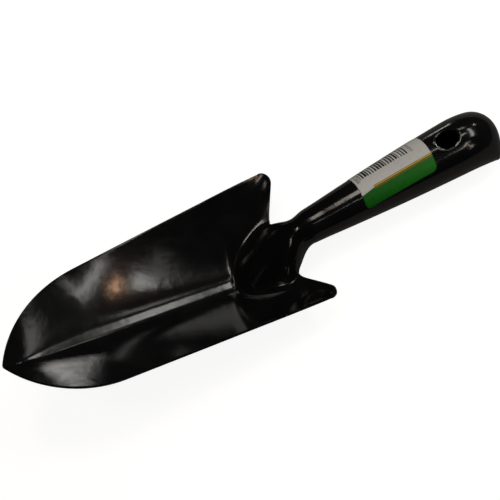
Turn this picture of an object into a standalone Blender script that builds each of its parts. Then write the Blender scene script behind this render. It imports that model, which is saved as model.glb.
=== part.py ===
"""Hand trowel: a scoop, neck and tubular handle pressed and rolled from one sheet of steel, with a label.

Dimensions are millimetres in the press frame: the blade's straight rims lie in the plane Z = 0, X runs
along the trowel from the tip (negative) to the end of the handle, and X = 0 is at the blade's back
corners. At the end the trowel is laid down on its back, on the blade's heel and the end of the handle,
and its origin is the bottom centre of its box.
"""
import math

import bmesh
import bpy
import numpy as np
from mathutils import Vector

MM = 0.001

SHEET = 1.2                     # thickness of the steel

# Blade outline, seen from above
REAR_HALF_WIDTH = 39.9          # at X = 0
SIDE_TAPER = 0.0643             # half width lost per mm towards the tip
NOSE_RADIUS = 60.7              # the two arcs that meet at the tip
NOSE_START_X = -113.7           # where the arcs leave the straight sides
EAR_TIP = (1.3, 38.0)           # a point the rear edge aims at (X, Y)
EAR_FOOT = (-10.2, 19.5)        # end of the straight rear edge, at the notch
EAR_RADIUS = 4.5
NOTCH = (-11.0, 16.4)           # bottom of the notch beside the neck
NOTCH_CLOSING = 1.75            # how fast the strip narrows behind the notch

# Blade depth
TIP_DROP = 1.0
TIP_CREASE = 4.4                # extra depth reached just behind the tip
TIP_CREASE_LENGTH = 7.0
KEEL_SLOPE = 0.208
HEEL = (-36.0, -31.8)           # lowest point of the keel (X, Z), before rounding
HEEL_SLOPE = 0.71               # rise of the floor behind the heel
HEEL_ROUND = 3.0
RIM_RISE = 1.6                  # the rim stands a little higher beside the tip
RIM_RISE_LENGTH = 45.0
KEEL_SHARP, KEEL_SOFT = 0.07, 0.25   # roundness of the keel at the tip and at the back
REAR_POWER = 2.4                # the section behind the heel is closer to a U

# Tongue: the raised arch that carries the neck into the floor
TONGUE_NOSE_X = -37.5
TONGUE_RADIUS = 18.5            # half width of its horseshoe footprint
TONGUE_FOOT_Z = -28.5
TONGUE_SLOPE = 1.25
TONGUE_ARCH = 22.0              # height of the arch's ellipse
TONGUE_HALF_WIDTH = 19.0
STEP_WIDTH = 6.0                # width of the pressed step around the tongue
FILLET = 4.0

# Handle
AXIS_START = (10.0, 1.78)       # a point on the axis (X, Z)
AXIS_SLOPE = 0.1746
NECK_RADIUS = 9.52
END_RADIUS = 15.2
TAPER_LENGTH = 85.0
BELLY = 0.55                    # how far the taper bulges
NECK_HALF_WIDTH = 8.8
SEAM_ANGLE = 177.8              # degrees from the top line to the seam underneath
WAIST_ANGLE = 108.0             # degrees covered by the strip where it leaves the blade
WAIST_X, CLOSED_X = -4.0, 14.0  # where the strip starts and ends closing to the seam
ROLL_START_X, ROLL_LENGTH = -9.0, 12.0
HOOD_END_X, HOOD_LENGTH, HOOD_DROP = 106.3, 23.0, 17.0
HOOD_NARROWING = 0.22
HOOD_TILT = 4.0                 # the top of the end reaches this much further than its side
END_PLANE = ((100.8, 2.0), (108.8, 16.2))   # two points (X, Z) of the plane that trims the end

# Hanging hole and label
HOLE_X, HOLE_RADIUS = 78.8, 5.3
LABEL_START_X, LABEL_END_X = 30.0, 69.2
LABEL_LOW, LABEL_HIGH = -11.7, 15.5   # girth positions of its edges, from the top line of the handle
LABEL_GAP, LABEL_THICKNESS = 0.3, 0.3

# Cells of the pressed sheet
SIDE_CELLS, NECK_CELLS = 7, 20  # across one side strip, across the neck and round the handle
NOSE_ROWS, NOSE_FRONT = 9, 14.0
BLADE_ROWS = (12, 17)           # before and beside the tongue
EAR_ROWS, THROAT_ROWS = 6, 15
TUBE_ROWS = (9, 10)             # straight taper, hooded end
LABEL_CELLS = (8, 10)

COLLECTION = "hand_trowel"


def smooth_step(x):
    x = np.clip(x, 0.0, 1.0)
    return x * x * (3.0 - 2.0 * x)


def smooth_min(a, b, width):
    return 0.5 * (a + b - np.sqrt((a - b) ** 2 + width * width))


def smooth_max(a, b, width):
    return 0.5 * (a + b + np.sqrt((a - b) ** 2 + width * width))


# ---------------------------------------------------------------- blade

def side_half_width(x):
    """Half width between the straight sides, carried on past both ends of the blade."""
    return REAR_HALF_WIDTH + SIDE_TAPER * np.minimum(x, 0.0)


def nose_centre():
    """Centre of the nose arc on the +Y side."""
    length = math.hypot(1.0, SIDE_TAPER)
    x = NOSE_START_X + NOSE_RADIUS * SIDE_TAPER / length
    y = side_half_width(NOSE_START_X) - NOSE_RADIUS / length
    return x, float(y)


def tip_x():
    """The two nose arcs meet on the centre line."""
    cx, cy = nose_centre()
    return cx - math.sqrt(NOSE_RADIUS ** 2 - cy ** 2)


def blade_half_width(x):
    cx, cy = nose_centre()
    arc = cy + np.sqrt(np.maximum(NOSE_RADIUS ** 2 - (x - cx) ** 2, 0.0))
    return np.where(x < NOSE_START_X, np.maximum(arc, 0.3), side_half_width(x))


def rim_height(x):
    s = np.maximum(x - tip_x(), 0.0)
    rise = RIM_RISE * np.sin(np.pi * np.clip(s / RIM_RISE_LENGTH, 0.0, 1.0)) * np.exp(-s / 25.0)
    return rise - TIP_DROP * np.exp(-s / 3.0)


def keel_height(x):
    s = np.maximum(x - tip_x(), 0.0)
    front = -TIP_DROP - TIP_CREASE * (1.0 - np.exp(-s / TIP_CREASE_LENGTH)) - KEEL_SLOPE * s
    rear = HEEL[1] + HEEL_SLOPE * (x - HEEL[0])
    return smooth_max(front, rear, HEEL_ROUND)


def floor_height(x, y):
    """The scoop without its tongue: a rounded V that turns into a U behind the heel."""
    t = np.abs(y) / blade_half_width(x)
    rho = KEEL_SHARP + (KEEL_SOFT - KEEL_SHARP) * smooth_step((x - tip_x()) / 110.0)
    vee = (np.sqrt(rho ** 2 + t * t) - rho) / (np.sqrt(rho ** 2 + 1.0) - rho)
    to_u = smooth_step((x + 45.0) / 35.0)
    rim = rim_height(x)
    keel = np.minimum(keel_height(x), rim)
    return keel + (rim - keel) * ((1.0 - to_u) * vee + to_u * t ** REAR_POWER)


# ---------------------------------------------------------------- handle and tongue

def axis_height(x):
    return AXIS_START[1] + AXIS_SLOPE * (x - AXIS_START[0])


def handle_radius(x):
    u = (x - AXIS_START[0]) / TAPER_LENGTH
    clipped = np.clip(u, 0.0, 1.0)
    return NECK_RADIUS + (END_RADIUS - NECK_RADIUS) * u + 4.0 * BELLY * clipped * (1.0 - clipped)


def crest_height(x):
    """Top line of the neck: the handle's top, rounded into the steep ramp of the tongue."""
    ramp = TONGUE_FOOT_Z + TONGUE_SLOPE * (x - TONGUE_NOSE_X)
    return smooth_min(axis_height(x) + handle_radius(x), ramp, 5.0)


def tongue_height(x, y):
    """An elliptical arch under the crest, carried straight on where the ellipse turns vertical."""
    widening = smooth_step(-x / 18.0)
    t = np.abs(y) / (NECK_HALF_WIDTH + (TONGUE_HALF_WIDTH - NECK_HALF_WIDTH) * widening)
    limit = 0.93
    arch = 1.0 - np.sqrt(1.0 - np.minimum(t, limit) ** 2)
    arch = arch + np.maximum(t - limit, 0.0) * limit / math.sqrt(1.0 - limit ** 2)
    return crest_height(x) - TONGUE_ARCH * arch


def inside_footprint(x, y):
    """Distance inside the tongue's horseshoe outline, negative outside it."""
    centre = TONGUE_NOSE_X + TONGUE_RADIUS
    return TONGUE_RADIUS - np.hypot(np.minimum(x - centre, 0.0), y)


def pressed_height(x, y):
    floor = floor_height(x, y)
    tongue = smooth_max(tongue_height(x, y), floor, FILLET)
    return floor + (tongue - floor) * smooth_step(inside_footprint(x, y) / STEP_WIDTH + 0.5)


def handle_point(x, angle, clearance=0.0):
    """A point of the handle's outside, angle radians round from its top line."""
    radius = handle_radius(x) + clearance
    reach = smooth_step((x - 60.0) / (HOOD_END_X - 60.0))
    s = np.clip((x - HOOD_END_X + HOOD_LENGTH) / HOOD_LENGTH, 0.0, 0.995)
    hood = (1.0 - np.sqrt(1.0 - s * s)) * smooth_step((np.cos(angle) + 0.8) / 1.8)
    px = x + HOOD_TILT * reach * np.cos(angle)
    py = radius * np.sin(angle) * (1.0 - HOOD_NARROWING * hood)
    pz = axis_height(x) + radius * np.cos(angle) - HOOD_DROP * hood
    return px, py, pz


# ---------------------------------------------------------------- the sheet, patch by patch

def spaced(stops, counts):
    """Values running through the stops, with the given number of cells between each pair."""
    runs = [np.linspace(a, b, n, endpoint=False) for a, b, n in zip(stops, stops[1:], counts)]
    return np.concatenate(runs + [[stops[-1]]])


def on_blade(x, y):
    return np.stack([x, y, pressed_height(x, y)], axis=-1)


def on_neck(x, u):
    """A point of the strip that is arched out of the blade and rolled shut; u = -1 to 1 across it."""
    narrowing = NOTCH_CLOSING * np.maximum(x - NOTCH[0], 0.0) ** 0.6
    arched = on_blade(x, u * np.maximum(NOTCH[1] - narrowing, 6.0))
    covered = WAIST_ANGLE + (SEAM_ANGLE - WAIST_ANGLE) * smooth_step((x - WAIST_X) / (CLOSED_X - WAIST_X))
    rolled = np.stack(handle_point(x, u * np.radians(covered)), axis=-1)
    return arched + (rolled - arched) * smooth_step((x - ROLL_START_X) / ROLL_LENGTH)[..., None]


def blend_edges(first, last, left, right):
    """Fills the area between four edges: rows run from first to last, columns from left to right."""
    u = np.linspace(0.0, 1.0, len(first))[None, :, None]
    w = np.linspace(0.0, 1.0, len(left))[:, None, None]
    along = (1.0 - w) * first[None] + w * last[None]
    across = (1.0 - u) * left[:, None] + u * right[:, None]
    corners = (1.0 - w) * ((1.0 - u) * first[0] + u * first[-1]) + w * ((1.0 - u) * last[0] + u * last[-1])
    return along + across - corners


def mirrored(points):
    return points * np.array([1.0, -1.0])


def across_blade():
    """Y of the blade's columns at X = 0: the strip of the neck between two side strips."""
    return spaced((-REAR_HALF_WIDTH, -NOTCH[1], NOTCH[1], REAR_HALF_WIDTH), (SIDE_CELLS, NECK_CELLS, SIDE_CELLS))


def blade_row(x, columns):
    y = columns * side_half_width(x) / REAR_HALF_WIDTH
    return np.stack([np.full_like(y, x), y], axis=-1)


def nose_edge(distances):
    """Points of the +Y nose arc at distances from the tip."""
    cx, cy = nose_centre()
    angle = math.pi + math.asin(cy / NOSE_RADIUS) - distances / NOSE_RADIUS
    return np.stack([cx + NOSE_RADIUS * np.cos(angle), cy + NOSE_RADIUS * np.sin(angle)], axis=-1)


def nose_patch():
    columns = across_blade()
    cx, cy = nose_centre()
    start = np.array([NOSE_START_X - cx, float(side_half_width(NOSE_START_X)) - cy])
    tip = np.array([tip_x() - cx, -cy])
    length = NOSE_RADIUS * math.acos(float(start @ tip) / NOSE_RADIUS ** 2)
    share = columns / REAR_HALF_WIDTH
    front = nose_edge(np.abs(share) * NOSE_FRONT)
    front[:, 1] *= np.sign(share)
    side = nose_edge(np.linspace(NOSE_FRONT, length, NOSE_ROWS + 1))
    return blend_edges(front, blade_row(NOSE_START_X, columns), mirrored(side), side)


def ear_patch():
    """The back corner of the blade on the +Y side, behind the bottom of the notch."""
    aim, foot = np.array(EAR_TIP), np.array(EAR_FOOT)
    along = (aim - foot) / np.linalg.norm(aim - foot)
    inward = np.array([-along[1], along[0]])
    centre_y = float(side_half_width(aim[0] - EAR_RADIUS)) - EAR_RADIUS
    reach = (centre_y - aim[1] - EAR_RADIUS * inward[1]) / along[1]
    centre = aim + reach * along + EAR_RADIUS * inward
    angle = np.linspace(math.atan2(-inward[1], -inward[0]), math.pi / 2.0, SIDE_CELLS + 1)
    corner = centre + EAR_RADIUS * np.stack([np.cos(angle), np.sin(angle)], axis=-1)
    w = np.linspace(0.0, 1.0, EAR_ROWS + 1)[:, None]
    leave = np.array([NOTCH[0], NOTCH[1] + 2.2])
    rear = (1 - w) ** 3 * np.array(NOTCH) + 3 * (1 - w) ** 2 * w * leave \
        + 3 * (1 - w) * w ** 2 * (foot + along * 3.0) + w ** 3 * corner[0]
    columns = across_blade()
    rim_x = NOTCH[0] + (centre[0] - NOTCH[0]) * w
    rim = np.concatenate([rim_x, side_half_width(rim_x)], axis=-1)
    start = blade_row(NOTCH[0], columns[columns >= NOTCH[1] - 1e-6])
    rear[0], rim[-1] = start[0], corner[-1]
    return blend_edges(start, corner, rear, rim)


def sheet_patches():
    """Grids of points on the sheet's upper and outer side; rows run towards +X, columns towards +Y."""
    columns = across_blade()
    nose = nose_patch()
    rows = spaced((NOSE_START_X, TONGUE_NOSE_X - 9.0, NOTCH[0]), BLADE_ROWS)
    main = np.stack([blade_row(x, columns) for x in rows])
    ear = ear_patch()
    flat = [nose, main, ear, mirrored(ear)[:, ::-1]]
    patches = [on_blade(patch[..., 0], patch[..., 1]) for patch in flat]
    throat = NOTCH[0] + (CLOSED_X - NOTCH[0]) * np.linspace(0.0, 1.0, THROAT_ROWS, endpoint=False) ** 1.6
    tube = spaced((CLOSED_X, HOOD_END_X - HOOD_LENGTH, HOOD_END_X), TUBE_ROWS)
    x, u = np.meshgrid(np.concatenate([throat, tube]), np.linspace(-1.0, 1.0, NECK_CELLS + 1), indexing="ij")
    neck = on_neck(x, u)
    neck[0] = patches[1][-1, SIDE_CELLS:SIDE_CELLS + NECK_CELLS + 1]
    return patches + [neck]


def add_patch(bm, points):
    rows = [[bm.verts.new(point) for point in row] for row in points]
    for row, after in zip(rows, rows[1:]):
        for j in range(len(row) - 1):
            bm.faces.new((row[j], after[j], after[j + 1], row[j + 1]))


# ---------------------------------------------------------------- objects

def painted_steel():
    material = bpy.data.materials.new("black_painted_steel")
    material.use_nodes = True
    shader = material.node_tree.nodes["Principled BSDF"]
    shader.inputs["Base Color"].default_value = (0.012, 0.012, 0.013, 1.0)
    shader.inputs["Roughness"].default_value = 0.22
    shader.inputs["Coat Weight"].default_value = 0.5
    return material


def label_paper():
    material = bpy.data.materials.new("label_paper")
    material.use_nodes = True
    shader = material.node_tree.nodes["Principled BSDF"]
    shader.inputs["Base Color"].default_value = (0.78, 0.78, 0.76, 1.0)
    shader.inputs["Roughness"].default_value = 0.35
    return material


def new_object(name, bm, collection, material=None):
    mesh = bpy.data.meshes.new(name)
    bm.to_mesh(mesh)
    bm.free()
    obj = bpy.data.objects.new(name, mesh)
    collection.objects.link(obj)
    if material:
        mesh.materials.append(material)
    return obj


def scale_to_metres(bm):
    for vert in bm.verts:
        vert.co *= MM


def as_cutter(obj):
    obj.hide_render = True
    obj.display_type = "WIRE"
    return obj


def end_cutter(collection):
    """A block behind the plane that trims the handle's end."""
    low, high = END_PLANE
    lean = math.atan2(high[0] - low[0], high[1] - low[1])
    bm = bmesh.new()
    bmesh.ops.create_cube(bm, size=60.0 * MM)
    obj = as_cutter(new_object("end_cutter", bm, collection))
    centre = Vector((low[0] + high[0], 0.0, low[1] + high[1])) * 0.5
    obj.rotation_euler = (0.0, lean, 0.0)
    obj.location = (centre + Vector((math.cos(lean), 0.0, -math.sin(lean))) * 30.0) * MM
    return obj


def hole_cutter(collection):
    """A short pin square to the handle, through its upper wall only."""
    lean = math.atan(AXIS_SLOPE + (END_RADIUS - NECK_RADIUS) / TAPER_LENGTH)
    top = Vector((HOLE_X, 0.0, float(axis_height(HOLE_X) + handle_radius(HOLE_X))))
    bm = bmesh.new()
    bmesh.ops.create_cone(bm, cap_ends=True, segments=24, radius1=HOLE_RADIUS * MM,
                          radius2=HOLE_RADIUS * MM, depth=14.0 * MM)
    obj = as_cutter(new_object("hole_cutter", bm, collection))
    obj.rotation_euler = (0.0, -lean, 0.0)
    obj.location = top * MM
    return obj


def add_cut(obj, cutter):
    cut = obj.modifiers.new(cutter.name, "BOOLEAN")
    cut.operation = "DIFFERENCE"
    cut.object = cutter


def trowel_body(collection, cutters):
    bm = bmesh.new()
    for patch in sheet_patches():
        add_patch(bm, patch)
    bmesh.ops.remove_doubles(bm, verts=bm.verts[:], dist=0.01)
    bmesh.ops.triangulate(bm, faces=bm.faces[:], quad_method="BEAUTY")
    scale_to_metres(bm)
    obj = new_object("trowel_body", bm, collection, painted_steel())
    thickness = obj.modifiers.new("sheet", "SOLIDIFY")
    thickness.thickness = SHEET * MM
    thickness.offset = -1.0
    add_cut(obj, end_cutter(cutters))
    add_cut(obj, hole_cutter(cutters))
    obj.data.shade_smooth()
    return obj


def label(collection):
    """A thin patch wrapped over the handle, a little clear of the paint."""
    x, girth = np.meshgrid(np.linspace(LABEL_START_X, LABEL_END_X, LABEL_CELLS[0] + 1),
                           np.linspace(LABEL_LOW, LABEL_HIGH, LABEL_CELLS[1] + 1), indexing="ij")
    bm = bmesh.new()
    add_patch(bm, np.stack(handle_point(x, girth / handle_radius(x), LABEL_GAP), axis=-1))
    scale_to_metres(bm)
    obj = new_object("label", bm, collection, label_paper())
    thickness = obj.modifiers.new("paper", "SOLIDIFY")
    thickness.thickness = LABEL_THICKNESS * MM
    thickness.offset = 1.0
    obj.data.shade_smooth()
    return obj


def evaluated_points(obj):
    evaluated = obj.evaluated_get(bpy.context.evaluated_depsgraph_get())
    mesh = evaluated.to_mesh()
    points = np.empty(len(mesh.vertices) * 3)
    mesh.vertices.foreach_get("co", points)
    evaluated.to_mesh_clear()
    return points.reshape(-1, 3)


def lying_pitch(points):
    """The pitch at which the blade's heel and the end of the handle touch one flat surface."""
    blade = points[points[:, 0] < 0.0]
    handle = points[points[:, 0] > 50.0 * MM]
    pitch = 0.0
    for _ in range(6):
        down = np.array([-math.sin(pitch), 0.0, math.cos(pitch)])
        heel = blade[np.argmin(blade @ down)]
        end = handle[np.argmin(handle @ down)]
        pitch = math.atan2(end[2] - heel[2], end[0] - heel[0])
    return pitch


def lay_down(body, parts):
    """Parents everything to one empty that lays the trowel on its back over the origin."""
    points = evaluated_points(body)
    pitch = lying_pitch(points)
    cos_p, sin_p = math.cos(pitch), math.sin(pitch)
    x = points[:, 0] * cos_p + points[:, 2] * sin_p
    z = points[:, 2] * cos_p - points[:, 0] * sin_p
    base = bpy.data.objects.new("lying_on_its_back", None)
    body.users_collection[0].objects.link(base)
    base.rotation_euler = (0.0, pitch, 0.0)
    base.location = (-0.5 * (x.min() + x.max()), -0.5 * (points[:, 1].min() + points[:, 1].max()), -z.min())
    for part in parts:
        part.parent = base


def main():
    for obj in list(bpy.data.objects):
        bpy.data.objects.remove(obj)
    parts = bpy.data.collections.new(COLLECTION)
    cutters = bpy.data.collections.new(COLLECTION + "_cutters")
    for collection in (parts, cutters):
        bpy.context.scene.collection.children.link(collection)
    body = trowel_body(parts, cutters)
    paper = label(parts)
    lay_down(body, [body, paper] + list(cutters.objects))


main()
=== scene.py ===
"""Looks of the hand trowel: one pressed and painted steel sheet, and the label stuck on its handle.

The pressed shape is worked out in millimetres in a press frame: the blade's straight rims lie in Z = 0, X
runs along the trowel from the tip (negative) to the end of the handle, and X = 0 is at the blade's back
corners. LYING carries it into the frame's metres, with the trowel on its back.
"""
import math

import bmesh
import bpy
import numpy as np
from mathutils import Matrix, Vector


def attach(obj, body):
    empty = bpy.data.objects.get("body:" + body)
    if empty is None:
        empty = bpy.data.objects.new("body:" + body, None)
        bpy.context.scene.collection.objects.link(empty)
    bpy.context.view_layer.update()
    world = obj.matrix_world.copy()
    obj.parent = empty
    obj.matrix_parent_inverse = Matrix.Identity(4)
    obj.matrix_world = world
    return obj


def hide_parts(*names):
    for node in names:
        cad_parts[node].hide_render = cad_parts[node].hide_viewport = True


MM = 0.001

# How the trowel lies
LYING_PITCH = 13.6348           # degrees
LYING_SHIFT = (24.2225, 0.0, 21.3832)

# Sheet
SHEET = 1.2
EDGE_ROUNDING = 0.32

# Blade outline, seen from above
REAR_HALF_WIDTH = 39.9
SIDE_TAPER = 0.0643
NOSE_RADIUS = 60.7
NOSE_START_X = -113.7
EAR_TIP = (1.3, 38.0)
EAR_FOOT = (-10.2, 19.5)
EAR_RADIUS = 4.5
NOTCH = (-11.0, 16.4)
NOTCH_CLOSING = 1.75

# Blade depth
TIP_DROP = 1.0
TIP_CREASE = 4.4
TIP_CREASE_LENGTH = 7.0
KEEL_SLOPE = 0.208
HEEL = (-36.0, -31.8)
HEEL_SLOPE = 0.71
HEEL_ROUND = 3.0
RIM_RISE = 1.6
RIM_RISE_LENGTH = 45.0
KEEL_SHARP, KEEL_SOFT = 0.07, 0.25
REAR_POWER = 2.4

# Tongue
TONGUE_NOSE_X = -37.5
TONGUE_RADIUS = 18.5
TONGUE_FOOT_Z = -28.5
TONGUE_SLOPE = 1.25
TONGUE_ARCH = 22.0
TONGUE_HALF_WIDTH = 19.0
STEP_WIDTH = 6.0
FILLET = 4.0

# Handle
AXIS_START = (10.0, 1.78)
AXIS_SLOPE = 0.1746
NECK_RADIUS = 9.52
END_RADIUS = 15.2
TAPER_LENGTH = 85.0
BELLY = 0.55
NECK_HALF_WIDTH = 8.8
SEAM_ANGLE = 177.8
WAIST_ANGLE = 108.0
WAIST_X, CLOSED_X = -4.0, 14.0
ROLL_START_X, ROLL_LENGTH = -9.0, 12.0
HOOD_END_X, HOOD_LENGTH, HOOD_DROP = 106.3, 23.0, 17.0
HOOD_NARROWING = 0.22
HOOD_TILT = 4.0
END_PLANE = ((100.8, 2.0), (108.8, 16.2))

# Hanging hole
HOLE_X, HOLE_RADIUS = 78.8, 5.3
HOLE_WINDOW = 8.0               # half length of the grid window that the hole's rings fill
HOLE_RINGS = 9

# Label
LABEL_START_X, LABEL_END_X = 30.0, 69.2
LABEL_LOW, LABEL_HIGH = -11.7, 15.5
LABEL_CORNER = 2.5
LABEL_GAP, LABEL_THICKNESS = 0.06, 0.12

# Print on the label: places along X and round the girth, in millimetres
STRIPE_START_X, STRIPE_GIRTH = 37.2, -3.3
GREEN_DROP = 1.0
BAR_START_X, BAR_END_X, BAR_LOW = 33.6, 61.0, 3.9
BAR_PITCH, BAR_GROUP, BAR_STAGGER = 1.45, 4.4, 0.5
MARK_BLOCKS = ((31.2, 33.2, 2.6, 15.0), (61.6, 63.2, 3.4, 15.0))
PAPER_LIGHT, PAPER_DARK = (0.88, 0.87, 0.855, 1.0), (0.80, 0.79, 0.78, 1.0)
BAR_INK, MARK_INK = (0.02, 0.02, 0.02, 1.0), (0.10, 0.10, 0.10, 1.0)
# Green band: the darker green is painted shade toward the label's start, the lighter green its lit end and
# its mottling
GREEN_PAINTED_SHADE, GREEN_LIGHT = (0.003, 0.155, 0.004, 1.0), (0.012, 0.24, 0.010, 1.0)
YELLOW, GOLD, OLIVE = (0.75, 0.58, 0.03, 1.0), (0.36, 0.17, 0.015, 1.0), (0.14, 0.13, 0.01, 1.0)
STRIPES = ((0.1, 1.9, OLIVE), (0.50, 0.62, YELLOW), (-0.45, 0.50, GOLD))

# Paint
PAINT_DARK, PAINT_LIGHT = (0.0054, 0.0051, 0.0057, 1.0), (0.0088, 0.0088, 0.0092, 1.0)
PAINT_ROUGHNESS = (0.105, 0.14)
PEEL_SCALE, WAVE_SCALE, GRAIN_SCALE, CLOUD_SCALE = 1100.0, 190.0, 3200.0, 60.0
PEEL_HEIGHT, WAVE_HEIGHT, GRAIN_HEIGHT = 0.30, 1.2, 0.16

# Camera, in the press frame: angles in degrees, lengths in millimetres
CAMERA_AZIMUTH, CAMERA_ELEVATION, CAMERA_ROLL = -28.1, 62.5, 1.0
CAMERA_TARGET, CAMERA_DISTANCE = (-28.93, 0.0, 0.0), 578.6
CAMERA_SENSOR, CAMERA_LENS = 36.0, 82.7
CAMERA_SHIFT = (-0.0074, 0.0036)

# Floor
FLOOR_HALF_SIZE, FLOOR_LEVEL = 3.0, -0.0002     # metres
FLOOR_ALBEDO, FLOOR_ROUGHNESS, FLOOR_GLOW = 0.36, 0.9, 0.90

# Light: radiance of the room and of the panels. Each panel is placed by the direction in which a point of the
# trowel sees it.
BACKDROP = 0.85
ROOM_RAMP = (-0.1, 0.6, 0.02, 0.36)
WHITE, WARM, AMBER = (1.0, 0.985, 0.94), (1.0, 0.92, 0.80), (1.0, 0.58, 0.34)
ALONG, ACROSS = (1.0, 0.0, 0.0), (0.0, 1.0, 0.0)
BLADE, TIP, TONGUE, HANDLE = (-0.06, 0.0, 0.02), (-0.12, 0.0, 0.045), (-0.005, 0.0, 0.03), (0.07, 0.0, 0.04)
PANELS = (
    # name, seen from, direction, width lies, width and height (degrees), distance, radiance, colour
    ("handle_band", HANDLE, (0.10, 0.22, 0.97), ALONG, (7.0, 20.0), 1.6, 5.4, WARM),
    ("top_strip", HANDLE, (0.36, 0.14, 0.92), ALONG, (18.0, 3.0), 1.6, 6.0, WHITE),
    ("second_strip", HANDLE, (0.42, 0.54, 0.73), ALONG, (14.0, 3.0), 1.6, 5.0, WHITE),
    ("thin_line", HANDLE, (0.10, -0.38, 0.92), ALONG, (8.0, 2.0), 1.6, 4.5, WHITE),
    ("end_spot", HANDLE, (0.75, 0.41, 0.52), ACROSS, (3.0, 3.0), 1.6, 18.0, WHITE),
    ("end_strip", BLADE, (0.68, 0.06, 0.73), ACROSS, (30.0, 4.5), 1.6, 5.6, WHITE),
    ("tip_panel", TIP, (0.71, -0.37, 0.60), ACROSS, (5.0, 6.0), 0.6, 1.9, WHITE),
    ("side_patch", BLADE, (0.52, -0.67, 0.55), ACROSS, (3.0, 4.0), 1.6, 8.0, WHITE),
    ("side_tail", BLADE, (0.50, -0.72, 0.48), (0.6, 0.8, 0.0), (6.0, 3.0), 1.6, 1.4, WHITE),
    ("side_strip", BLADE, (0.42, -0.53, 0.74), (0.12, 0.17, 0.10), (13.0, 3.2), 1.6, 4.8, WHITE),
    ("warm_lamp", BLADE, (0.487, -0.60, 0.635), ACROSS, (1.6, 1.6), 1.6, 52.0, AMBER),
    ("left_ceiling", TONGUE, (-0.33, 0.02, 0.94), ACROSS, (18.0, 3.0), 1.6, 9.0, WARM),
    ("left_low", TONGUE, (-0.62, -0.25, 0.74), ALONG, (5.0, 14.0), 1.6, 4.0, WARM),
    ("low_panel", TIP, (0.372, 0.92, 0.10), (-0.93, 0.362, 0.0), (4.0, 6.0), 1.6, 4.4, WHITE),
)

# Cells of the pressed sheet
SIDE_CELLS, NECK_CELLS = 26, 64
NOSE_ROWS, NOSE_FRONT = 44, 14.0
BLADE_ROWS = (60, 64)
EAR_ROWS, THROAT_ROWS = 22, 44
TUBE_ROWS = (50, 12, 40)        # before, beside and behind the hanging hole
LABEL_CELLS = (64, 44)


def smooth_step(x):
    x = np.clip(x, 0.0, 1.0)
    return x * x * (3.0 - 2.0 * x)


def smooth_min(a, b, width):
    return 0.5 * (a + b - np.sqrt((a - b) ** 2 + width * width))


def smooth_max(a, b, width):
    return 0.5 * (a + b + np.sqrt((a - b) ** 2 + width * width))


# ---------------------------------------------------------------- blade

def side_half_width(x):
    return REAR_HALF_WIDTH + SIDE_TAPER * np.minimum(x, 0.0)


def nose_centre():
    length = math.hypot(1.0, SIDE_TAPER)
    x = NOSE_START_X + NOSE_RADIUS * SIDE_TAPER / length
    y = side_half_width(NOSE_START_X) - NOSE_RADIUS / length
    return x, float(y)


def tip_x():
    cx, cy = nose_centre()
    return cx - math.sqrt(NOSE_RADIUS ** 2 - cy ** 2)


def blade_half_width(x):
    cx, cy = nose_centre()
    arc = cy + np.sqrt(np.maximum(NOSE_RADIUS ** 2 - (x - cx) ** 2, 0.0))
    return np.where(x < NOSE_START_X, np.maximum(arc, 0.3), side_half_width(x))


def rim_height(x):
    s = np.maximum(x - tip_x(), 0.0)
    rise = RIM_RISE * np.sin(np.pi * np.clip(s / RIM_RISE_LENGTH, 0.0, 1.0)) * np.exp(-s / 25.0)
    return rise - TIP_DROP * np.exp(-s / 3.0)


def keel_height(x):
    s = np.maximum(x - tip_x(), 0.0)
    front = -TIP_DROP - TIP_CREASE * (1.0 - np.exp(-s / TIP_CREASE_LENGTH)) - KEEL_SLOPE * s
    rear = HEEL[1] + HEEL_SLOPE * (x - HEEL[0])
    return smooth_max(front, rear, HEEL_ROUND)


def floor_height(x, y):
    """The scoop without its tongue: a rounded V that turns into a U behind the heel."""
    t = np.abs(y) / blade_half_width(x)
    rho = KEEL_SHARP + (KEEL_SOFT - KEEL_SHARP) * smooth_step((x - tip_x()) / 110.0)
    vee = (np.sqrt(rho ** 2 + t * t) - rho) / (np.sqrt(rho ** 2 + 1.0) - rho)
    to_u = smooth_step((x + 45.0) / 35.0)
    rim = rim_height(x)
    keel = np.minimum(keel_height(x), rim)
    return keel + (rim - keel) * ((1.0 - to_u) * vee + to_u * t ** REAR_POWER)


# ---------------------------------------------------------------- handle and tongue

def axis_height(x):
    return AXIS_START[1] + AXIS_SLOPE * (x - AXIS_START[0])


def handle_radius(x):
    u = (x - AXIS_START[0]) / TAPER_LENGTH
    clipped = np.clip(u, 0.0, 1.0)
    return NECK_RADIUS + (END_RADIUS - NECK_RADIUS) * u + 4.0 * BELLY * clipped * (1.0 - clipped)


def crest_height(x):
    ramp = TONGUE_FOOT_Z + TONGUE_SLOPE * (x - TONGUE_NOSE_X)
    return smooth_min(axis_height(x) + handle_radius(x), ramp, 5.0)


def tongue_height(x, y):
    """An elliptical arch under the crest, carried straight on where the ellipse turns vertical."""
    widening = smooth_step(-x / 18.0)
    t = np.abs(y) / (NECK_HALF_WIDTH + (TONGUE_HALF_WIDTH - NECK_HALF_WIDTH) * widening)
    limit = 0.93
    arch = 1.0 - np.sqrt(1.0 - np.minimum(t, limit) ** 2)
    arch = arch + np.maximum(t - limit, 0.0) * limit / math.sqrt(1.0 - limit ** 2)
    return crest_height(x) - TONGUE_ARCH * arch


def inside_footprint(x, y):
    """Distance inside the tongue's horseshoe outline, negative outside it."""
    centre = TONGUE_NOSE_X + TONGUE_RADIUS
    return TONGUE_RADIUS - np.hypot(np.minimum(x - centre, 0.0), y)


def pressed_height(x, y):
    floor = floor_height(x, y)
    tongue = smooth_max(tongue_height(x, y), floor, FILLET)
    return floor + (tongue - floor) * smooth_step(inside_footprint(x, y) / STEP_WIDTH + 0.5)


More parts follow.
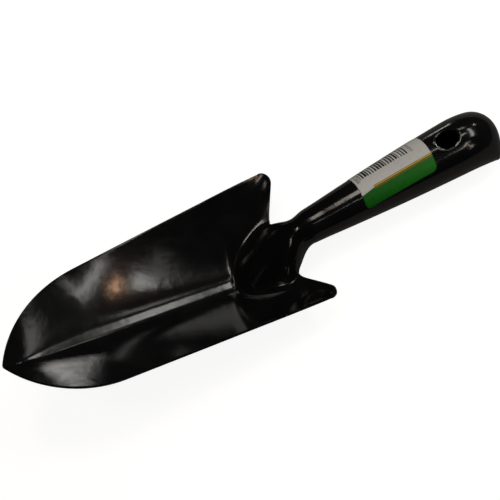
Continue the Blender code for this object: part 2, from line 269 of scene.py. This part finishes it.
def handle_point(x, angle, clearance=0.0):
    """A point of the handle's outside, angle radians round from its top line."""
    radius = handle_radius(x) + clearance
    reach = smooth_step((x - 60.0) / (HOOD_END_X - 60.0))
    s = np.clip((x - HOOD_END_X + HOOD_LENGTH) / HOOD_LENGTH, 0.0, 0.995)
    hood = (1.0 - np.sqrt(1.0 - s * s)) * smooth_step((np.cos(angle) + 0.8) / 1.8)
    px = x + HOOD_TILT * reach * np.cos(angle)
    py = radius * np.sin(angle) * (1.0 - HOOD_NARROWING * hood)
    pz = axis_height(x) + radius * np.cos(angle) - HOOD_DROP * hood
    return np.stack([px, py, pz], axis=-1)


# ---------------------------------------------------------------- the sheet, patch by patch

def spaced(stops, counts):
    """Values running through the stops, with the given number of cells between each pair."""
    runs = [np.linspace(a, b, n, endpoint=False) for a, b, n in zip(stops, stops[1:], counts)]
    return np.concatenate(runs + [[stops[-1]]])


def on_blade(x, y):
    return np.stack([x, y, pressed_height(x, y)], axis=-1)


def on_neck(x, u):
    """A point of the strip that is arched out of the blade and rolled shut; u = -1 to 1 across it."""
    narrowing = NOTCH_CLOSING * np.maximum(x - NOTCH[0], 0.0) ** 0.6
    arched = on_blade(x, u * np.maximum(NOTCH[1] - narrowing, 6.0))
    covered = WAIST_ANGLE + (SEAM_ANGLE - WAIST_ANGLE) * smooth_step((x - WAIST_X) / (CLOSED_X - WAIST_X))
    rolled = handle_point(x, u * np.radians(covered))
    return arched + (rolled - arched) * smooth_step((x - ROLL_START_X) / ROLL_LENGTH)[..., None]


def blend_edges(first, last, left, right):
    """Fills the area between four edges: rows run from first to last, columns from left to right."""
    u = np.linspace(0.0, 1.0, len(first))[None, :, None]
    w = np.linspace(0.0, 1.0, len(left))[:, None, None]
    along = (1.0 - w) * first[None] + w * last[None]
    across = (1.0 - u) * left[:, None] + u * right[:, None]
    corners = (1.0 - w) * ((1.0 - u) * first[0] + u * first[-1]) + w * ((1.0 - u) * last[0] + u * last[-1])
    return along + across - corners


def mirrored(points):
    return points * np.array([1.0, -1.0])


def across_blade():
    """Y of the blade's columns at X = 0: the strip of the neck between two side strips."""
    stops = (-REAR_HALF_WIDTH, -NOTCH[1], NOTCH[1], REAR_HALF_WIDTH)
    return spaced(stops, (SIDE_CELLS, NECK_CELLS, SIDE_CELLS))


def blade_row(x, columns):
    y = columns * side_half_width(x) / REAR_HALF_WIDTH
    return np.stack([np.full_like(y, x), y], axis=-1)


def nose_edge(distances):
    """Points of the +Y nose arc at distances from the tip."""
    cx, cy = nose_centre()
    angle = math.pi + math.asin(cy / NOSE_RADIUS) - distances / NOSE_RADIUS
    return np.stack([cx + NOSE_RADIUS * np.cos(angle), cy + NOSE_RADIUS * np.sin(angle)], axis=-1)


def nose_patch():
    columns = across_blade()
    cx, cy = nose_centre()
    start = np.array([NOSE_START_X - cx, float(side_half_width(NOSE_START_X)) - cy])
    tip = np.array([tip_x() - cx, -cy])
    length = NOSE_RADIUS * math.acos(float(start @ tip) / NOSE_RADIUS ** 2)
    share = columns / REAR_HALF_WIDTH
    front = nose_edge(np.abs(share) * NOSE_FRONT)
    front[:, 1] *= np.sign(share)
    side = nose_edge(np.linspace(NOSE_FRONT, length, NOSE_ROWS + 1))
    return blend_edges(front, blade_row(NOSE_START_X, columns), mirrored(side), side)


def ear_patch():
    """The back corner of the blade on the +Y side, behind the bottom of the notch."""
    aim, foot = np.array(EAR_TIP), np.array(EAR_FOOT)
    along = (aim - foot) / np.linalg.norm(aim - foot)
    inward = np.array([-along[1], along[0]])
    centre_y = float(side_half_width(aim[0] - EAR_RADIUS)) - EAR_RADIUS
    reach = (centre_y - aim[1] - EAR_RADIUS * inward[1]) / along[1]
    centre = aim + reach * along + EAR_RADIUS * inward
    angle = np.linspace(math.atan2(-inward[1], -inward[0]), math.pi / 2.0, SIDE_CELLS + 1)
    corner = centre + EAR_RADIUS * np.stack([np.cos(angle), np.sin(angle)], axis=-1)
    w = np.linspace(0.0, 1.0, EAR_ROWS + 1)[:, None]
    leave = np.array([NOTCH[0], NOTCH[1] + 2.2])
    rear = (1 - w) ** 3 * np.array(NOTCH) + 3 * (1 - w) ** 2 * w * leave \
        + 3 * (1 - w) * w ** 2 * (foot + along * 3.0) + w ** 3 * corner[0]
    columns = across_blade()
    rim_x = NOTCH[0] + (centre[0] - NOTCH[0]) * w
    rim = np.concatenate([rim_x, side_half_width(rim_x)], axis=-1)
    start = blade_row(NOTCH[0], columns[columns >= NOTCH[1] - 1e-6])
    rear[0], rim[-1] = start[0], corner[-1]
    return blend_edges(start, corner, rear, rim)


def neck_rows():
    throat = NOTCH[0] + (CLOSED_X - NOTCH[0]) * np.linspace(0.0, 1.0, THROAT_ROWS, endpoint=False) ** 1.6
    tube = spaced((CLOSED_X, HOLE_X - HOLE_WINDOW, HOLE_X + HOLE_WINDOW, HOOD_END_X), TUBE_ROWS)
    return np.concatenate([throat, tube])


def new_grid(bm, points):
    return [[bm.verts.new(point) for point in row] for row in points]


def fill_grid(bm, rows, skip=None):
    for i, (row, after) in enumerate(zip(rows, rows[1:])):
        for j in range(len(row) - 1):
            if not (skip and skip[0] <= i < skip[1] and skip[2] <= j < skip[3]):
                bm.faces.new((row[j], after[j], after[j + 1], row[j + 1]))


def hole_rings(bm, rows, xs, angles, window):
    """Fills the window left in the handle's grid with rings that close in on the hanging hole."""
    i0, i1, j0, j1 = window
    loop = [(i, j0) for i in range(i0, i1)] + [(i1, j) for j in range(j0, j1)]
    loop += [(i, j1) for i in range(i1, i0, -1)] + [(i0, j) for j in range(j1, j0, -1)]
    radius = float(handle_radius(HOLE_X))
    outer = np.array([(xs[i] - HOLE_X, angles[j] * radius) for i, j in loop])
    edge = HOLE_RADIUS * outer / np.linalg.norm(outer, axis=1)[:, None]
    last = [rows[i][j] for i, j in loop]
    for k in range(1, HOLE_RINGS + 1):
        share = 1.0 - (1.0 - k / HOLE_RINGS) ** 1.5
        flat = outer + (edge - outer) * share
        from_edge = np.linalg.norm(flat, axis=1) - HOLE_RADIUS
        sunk = -0.3 * (1.0 - smooth_step(from_edge / 1.3)) ** 2
        ring = [bm.verts.new(p) for p in handle_point(HOLE_X + flat[:, 0], flat[:, 1] / radius, sunk)]
        for n in range(len(ring)):
            m = (n + 1) % len(ring)
            bm.faces.new((last[n], last[m], ring[m], ring[n]))
        last = ring


def pressed_sheet():
    """The sheet's upper and outer side as one open mesh."""
    bm = bmesh.new()
    columns = across_blade()
    blade_rows = spaced((NOSE_START_X, TONGUE_NOSE_X - 9.0, NOTCH[0]), BLADE_ROWS)
    ear = ear_patch()
    flat = [nose_patch(), np.stack([blade_row(x, columns) for x in blade_rows]), ear, mirrored(ear)[:, ::-1]]
    for patch in flat:
        fill_grid(bm, new_grid(bm, on_blade(patch[..., 0], patch[..., 1])))
    xs = neck_rows()
    u = np.linspace(-1.0, 1.0, NECK_CELLS + 1)
    points = on_neck(*np.meshgrid(xs, u, indexing="ij"))
    middle = blade_row(NOTCH[0], columns[SIDE_CELLS:SIDE_CELLS + NECK_CELLS + 1])
    points[0] = on_blade(middle[:, 0], middle[:, 1])
    rows = new_grid(bm, points)
    angles = u * math.radians(SEAM_ANGLE)
    first = int(np.argmin(np.abs(xs - HOLE_X + HOLE_WINDOW)))
    reach = int(round(HOLE_WINDOW / float(handle_radius(HOLE_X)) / (angles[1] - angles[0])))
    window = (first, first + TUBE_ROWS[1], NECK_CELLS // 2 - reach, NECK_CELLS // 2 + reach)
    fill_grid(bm, rows, window)
    hole_rings(bm, rows, xs, angles, window)
    low, high = END_PLANE
    across = Vector((high[1] - low[1], 0.0, low[0] - high[0])).normalized()
    bmesh.ops.bisect_plane(bm, geom=bm.verts[:] + bm.edges[:] + bm.faces[:], dist=1e-3,
                           plane_co=Vector((low[0], 0.0, low[1])), plane_no=across, clear_outer=True)
    loose = [vert for vert in bm.verts if not vert.link_faces]
    bmesh.ops.delete(bm, geom=loose, context="VERTS")
    bmesh.ops.remove_doubles(bm, verts=bm.verts[:], dist=0.01)
    return bm


# ---------------------------------------------------------------- pieces

def lying():
    return Matrix.Translation(Vector(LYING_SHIFT) * MM) @ Matrix.Rotation(math.radians(LYING_PITCH), 4, "Y")


def finish_mesh(name, bm, material):
    """Scales to metres, lays the piece down and makes it an object; make_body and make_label then attach it
    to the trowel's one body.
    """
    bmesh.ops.transform(bm, matrix=lying() @ Matrix.Scale(MM, 4), verts=bm.verts[:])
    mesh = bpy.data.meshes.new(name)
    bm.to_mesh(mesh)
    bm.free()
    mesh.materials.append(material)
    mesh.shade_smooth()
    obj = bpy.data.objects.new(name, mesh)
    bpy.context.scene.collection.objects.link(obj)
    return obj


def thicken(obj, thickness, offset):
    modifier = obj.modifiers.new("thickness", "SOLIDIFY")
    modifier.thickness = thickness * MM
    modifier.offset = offset


def round_edges(obj, width, segments):
    modifier = obj.modifiers.new("rounded_edges", "BEVEL")
    modifier.limit_method = "ANGLE"
    modifier.angle_limit = math.radians(50.0)
    modifier.width = width * MM
    modifier.segments = segments


def make_body():
    body = finish_mesh("painted_trowel", pressed_sheet(), black_paint())
    thicken(body, SHEET, -1.0)
    round_edges(body, EDGE_ROUNDING, 3)
    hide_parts("trowel_body")
    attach(body, "root")


def make_label():
    """A thin sticker wrapped over the handle; its UV map holds millimetres along X and round the girth."""
    x = np.linspace(LABEL_START_X, LABEL_END_X, LABEL_CELLS[0] + 1)
    from_end = np.minimum(np.minimum(x - x[0], x[-1] - x), LABEL_CORNER)
    inset = LABEL_CORNER - np.sqrt(LABEL_CORNER ** 2 - (LABEL_CORNER - from_end) ** 2)
    share = np.linspace(0.0, 1.0, LABEL_CELLS[1] + 1)[None, :]
    low, high = (LABEL_LOW + inset)[:, None], (LABEL_HIGH - inset)[:, None]
    girth = low + (high - low) * share
    xs = np.repeat(x[:, None], LABEL_CELLS[1] + 1, axis=1)
    bm = bmesh.new()
    rows = new_grid(bm, handle_point(xs, girth / handle_radius(xs), LABEL_GAP))
    fill_grid(bm, rows)
    layer = bm.loops.layers.uv.new("print")
    place = {vert: (xs[i, j], girth[i, j]) for i, row in enumerate(rows) for j, vert in enumerate(row)}
    for face in bm.faces:
        for loop in face.loops:
            loop[layer].uv = place[loop.vert]
    sticker = finish_mesh("sticker", bm, label_print())
    thicken(sticker, LABEL_THICKNESS, 1.0)
    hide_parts("label")
    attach(sticker, "root")


# ---------------------------------------------------------------- materials

class Nodes:
    """A short way to write a material's node tree."""

    def __init__(self, name):
        self.material = bpy.data.materials.new(name)
        self.material.use_nodes = True
        self.tree = self.material.node_tree
        self.shader = self.tree.nodes["Principled BSDF"]

    def feed(self, socket, value):
        if isinstance(value, bpy.types.NodeSocket):
            self.tree.links.new(value, socket)
        else:
            socket.default_value = value

    def add(self, kind, settings=None, **inputs):
        node = self.tree.nodes.new(kind)
        for key, value in (settings or {}).items():
            setattr(node, key, value)
        for key, value in inputs.items():
            self.feed(node.inputs[key.replace("_", " ")], value)
        return node

    def math(self, operation, a, b=0.0):
        node = self.add("ShaderNodeMath", {"operation": operation})
        self.feed(node.inputs[0], a)
        self.feed(node.inputs[1], b)
        return node.outputs[0]

    def remap(self, value, low, high, to_low=0.0, to_high=1.0):
        node = self.add("ShaderNodeMapRange", {"clamp": True})
        for key, number in zip((0, 1, 2, 3, 4), (value, low, high, to_low, to_high)):
            self.feed(node.inputs[key], number)
        return node.outputs[0]

    def mix(self, share, a, b):
        node = self.add("ShaderNodeMix", {"data_type": "RGBA"})
        self.feed(node.inputs[0], share)
        self.feed(node.inputs[6], a)
        self.feed(node.inputs[7], b)
        return node.outputs[2]

    def noise(self, place, scale, detail=2.0, roughness=0.5):
        node = self.add("ShaderNodeTexNoise", Vector=place, Scale=scale, Detail=detail, Roughness=roughness)
        return node.outputs["Fac"]

    def chance(self, value):
        node = self.add("ShaderNodeTexWhiteNoise", {"noise_dimensions": "1D"}, W=value)
        return node.outputs["Value"]

    def between(self, value, low, high):
        """1 where the value lies between the two limits, otherwise 0."""
        above, below = self.math("GREATER_THAN", value, low), self.math("LESS_THAN", value, high)
        return self.math("MULTIPLY", above, below)


def black_paint():
    """Black gloss enamel: orange peel, slow waves and fine grain, with clouds in its colour and gloss."""
    n = Nodes("black_gloss_enamel")
    place = n.add("ShaderNodeTexCoord").outputs["Object"]
    peel = n.noise(place, PEEL_SCALE, 2.0)
    waves = n.noise(place, WAVE_SCALE, 1.0)
    grain = n.noise(place, GRAIN_SCALE, 2.0)
    height = n.math("ADD", n.math("MULTIPLY", peel, PEEL_HEIGHT), n.math("MULTIPLY", waves, WAVE_HEIGHT))
    height = n.math("ADD", height, n.math("MULTIPLY", grain, GRAIN_HEIGHT))
    bump = n.add("ShaderNodeBump", Strength=0.5, Distance=0.00008, Height=height)
    n.feed(n.shader.inputs["Normal"], bump.outputs["Normal"])
    cloud = n.noise(place, CLOUD_SCALE, 4.0, 0.6)
    n.feed(n.shader.inputs["Base Color"], n.mix(n.remap(cloud, 0.35, 0.7), PAINT_DARK, PAINT_LIGHT))
    n.feed(n.shader.inputs["Roughness"], n.remap(cloud, 0.3, 0.7, *PAINT_ROUGHNESS))
    n.shader.inputs["IOR"].default_value = 1.5
    return n.material


def label_print():
    """Printed paper: a white field with bars, a gold and yellow stripe and a green band along one edge, the
    green painted darker toward the label's start as painted shade.
    """
    n = Nodes("label_print")
    place = n.add("ShaderNodeTexCoord").outputs["Object"]
    spot = n.add("ShaderNodeSeparateXYZ", Vector=n.add("ShaderNodeUVMap", {"uv_map": "print"}).outputs["UV"])
    along, girth = spot.outputs["X"], spot.outputs["Y"]
    fibre = n.noise(place, 900.0, 3.0)
    paper = n.mix(n.remap(fibre, 0.3, 0.7), PAPER_DARK, PAPER_LIGHT)
    printed = n.mix(bar_pattern(n, along, girth), paper, BAR_INK)
    printed = n.mix(small_marks(n, along, girth, place), printed, MARK_INK)
    # The green band is painted darker toward the label's start and lighter toward its end: painted shade. The
    # noise after it mottles its tone.
    painted_shade_share = n.remap(along, LABEL_START_X, LABEL_END_X)
    green = n.mix(painted_shade_share, GREEN_PAINTED_SHADE, GREEN_LIGHT)
    green = n.mix(n.remap(n.noise(place, 420.0, 3.0), 0.35, 0.75, 0.0, 0.35), green, GREEN_LIGHT)
    drop = n.remap(along, LABEL_START_X, STRIPE_START_X, GREEN_DROP, 0.0)
    from_line = n.math("ADD", n.math("SUBTRACT", girth, STRIPE_GIRTH), drop)
    printed = n.mix(n.remap(from_line, 0.06, -0.06), printed, green)
    beside = n.remap(along, STRIPE_START_X - 0.1, STRIPE_START_X + 0.1)
    for offset, width, colour in STRIPES:
        line = n.math("ABSOLUTE", n.math("SUBTRACT", from_line, offset))
        inked = n.math("MULTIPLY", n.remap(line, width / 2.0 + 0.06, width / 2.0 - 0.06), beside)
        printed = n.mix(inked, printed, colour)
    worn = n.remap(n.noise(place, 2600.0, 4.0, 0.7), 0.62, 0.80, 0.0, 0.30)
    n.feed(n.shader.inputs["Base Color"], n.mix(worn, printed, PAPER_DARK))
    n.feed(n.shader.inputs["Roughness"], n.remap(n.noise(place, 240.0, 3.0), 0.3, 0.7, 0.34, 0.46))
    n.shader.inputs["Specular IOR Level"].default_value = 0.35
    bump = n.add("ShaderNodeBump", Strength=0.25, Distance=0.00004,
                 Height=n.math("ADD", fibre, n.noise(place, 110.0, 2.0)))
    n.feed(n.shader.inputs["Normal"], bump.outputs["Normal"])
    return n.material


def bar_pattern(n, along, girth):
    """1 on the bars. Each cell holds one bar of a chance width, wider in some groups than in others."""
    place = n.math("DIVIDE", along, BAR_PITCH)
    fine = n.chance(n.math("FLOOR", place))
    coarse = n.chance(n.math("FLOOR", n.math("DIVIDE", along, BAR_GROUP)))
    width = n.math("ADD", n.math("MULTIPLY", fine, 0.55), n.math("MULTIPLY", coarse, 0.30))
    black = n.math("LESS_THAN", n.math("FRACT", place), n.math("ADD", width, 0.15))
    stagger = n.math("MULTIPLY", fine, BAR_STAGGER)
    inside = n.remap(n.math("SUBTRACT", girth, stagger), BAR_LOW - 0.08, BAR_LOW + 0.08)
    return n.math("MULTIPLY", n.math("MULTIPLY", black, inside), n.between(along, BAR_START_X, BAR_END_X))


def small_marks(n, along, girth, place):
    """Grey blocks at both ends of the bars, where small print would be too fine to read."""
    speck = n.remap(n.noise(place, 2200.0, 1.0), 0.44, 0.56)
    blocks = None
    for x0, x1, low, high in MARK_BLOCKS:
        block = n.math("MULTIPLY", n.between(along, x0, x1), n.between(girth, low, high))
        blocks = block if blocks is None else n.math("ADD", blocks, block)
    return n.math("MULTIPLY", blocks, n.math("MULTIPLY", speck, 0.75))


# ---------------------------------------------------------------- floor, lights and camera

def make_floor():
    bm = bmesh.new()
    bmesh.ops.create_grid(bm, x_segments=1, y_segments=1, size=FLOOR_HALF_SIZE)
    mesh = bpy.data.meshes.new("floor")
    bm.to_mesh(mesh)
    bm.free()
    obj = bpy.data.objects.new("floor", mesh)
    obj.location.z = FLOOR_LEVEL
    bpy.context.scene.collection.objects.link(obj)
    n = Nodes("pale_floor")
    n.shader.inputs["Base Color"].default_value = (FLOOR_ALBEDO, FLOOR_ALBEDO, FLOOR_ALBEDO, 1.0)
    n.shader.inputs["Roughness"].default_value = FLOOR_ROUGHNESS
    n.shader.inputs["Emission Color"].default_value = (1.0, 1.0, 1.0, 1.0)
    seen = n.add("ShaderNodeLightPath").outputs["Is Camera Ray"]
    n.feed(n.shader.inputs["Emission Strength"], n.math("MULTIPLY", seen, FLOOR_GLOW))
    mesh.materials.append(n.material)


def panel(name, seen_from, direction, along, angles, distance, radiance, colour):
    """A soft panel whose width lies along a vector; its size is given as the angles that it fills."""
    away = Vector(direction).normalized()
    height_axis = away.cross(Vector(along)).normalized()
    width, height = (2.0 * distance * math.tan(math.radians(angle) / 2.0) for angle in angles)
    light = bpy.data.lights.new(name, "AREA")
    light.shape = "RECTANGLE"
    light.size, light.size_y = width, height
    light.energy = 4.0 * width * height * radiance
    light.color = colour
    obj = bpy.data.objects.new(name, light)
    bpy.context.scene.collection.objects.link(obj)
    turn = Matrix((height_axis.cross(away), height_axis, away)).transposed().to_4x4()
    obj.matrix_world = Matrix.Translation(Vector(seen_from) + away * distance) @ turn
    obj.visible_camera = False


def make_world():
    """A dim room that is brighter toward the handle's end; the camera sees a pale backdrop instead."""
    world = bpy.data.worlds.new("studio")
    bpy.context.scene.world = world
    world.use_nodes = True
    nodes, links = world.node_tree.nodes, world.node_tree.links
    place = nodes.new("ShaderNodeTexCoord")
    split = nodes.new("ShaderNodeSeparateXYZ")
    ramp = nodes.new("ShaderNodeMapRange")
    links.new(place.outputs["Generated"], split.inputs[0])
    links.new(split.outputs["X"], ramp.inputs["Value"])
    for key, value in zip(("From Min", "From Max", "To Min", "To Max"), ROOM_RAMP):
        ramp.inputs[key].default_value = value
    seen = nodes.new("ShaderNodeLightPath")
    mix = nodes.new("ShaderNodeMix")
    links.new(seen.outputs["Is Camera Ray"], mix.inputs[0])
    links.new(ramp.outputs["Result"], mix.inputs[2])
    mix.inputs[3].default_value = BACKDROP
    links.new(mix.outputs[0], nodes["Background"].inputs["Strength"])


def make_lights():
    make_world()
    for settings in PANELS:
        panel(*settings)


def make_camera():
    """The camera is placed in the press frame and laid down with the trowel."""
    azimuth, elevation, roll = (math.radians(a) for a in (CAMERA_AZIMUTH, CAMERA_ELEVATION, CAMERA_ROLL))
    back = Vector((math.sin(azimuth) * math.cos(elevation), -math.cos(azimuth) * math.cos(elevation),
                   math.sin(elevation)))
    right = Vector((math.cos(azimuth), math.sin(azimuth), 0.0))
    up = back.cross(right)
    right, up = right * math.cos(roll) + up * math.sin(roll), up * math.cos(roll) - right * math.sin(roll)
    turn = Matrix((right, up, back)).transposed().to_4x4()
    camera = bpy.data.cameras.new("camera")
    camera.sensor_width, camera.lens = CAMERA_SENSOR, CAMERA_LENS
    camera.shift_x, camera.shift_y = CAMERA_SHIFT
    camera.clip_start, camera.clip_end = 0.05, 20.0
    obj = bpy.data.objects.new("camera", camera)
    bpy.context.scene.collection.objects.link(obj)
    place = (Vector(CAMERA_TARGET) + back * CAMERA_DISTANCE) * MM
    obj.matrix_world = lying() @ Matrix.Translation(place) @ turn
    bpy.context.scene.camera = obj


# ---------------------------------------------------------------- scene

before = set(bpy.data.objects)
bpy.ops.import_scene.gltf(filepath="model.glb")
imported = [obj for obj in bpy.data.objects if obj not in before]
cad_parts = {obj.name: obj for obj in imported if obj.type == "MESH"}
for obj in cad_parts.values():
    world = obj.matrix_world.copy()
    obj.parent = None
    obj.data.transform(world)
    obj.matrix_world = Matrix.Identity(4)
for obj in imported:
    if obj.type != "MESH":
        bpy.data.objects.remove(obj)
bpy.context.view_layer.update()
make_camera()
make_body()
make_label()
make_floor()
make_lights()
bpy.context.scene.view_settings.view_transform = "Standard"
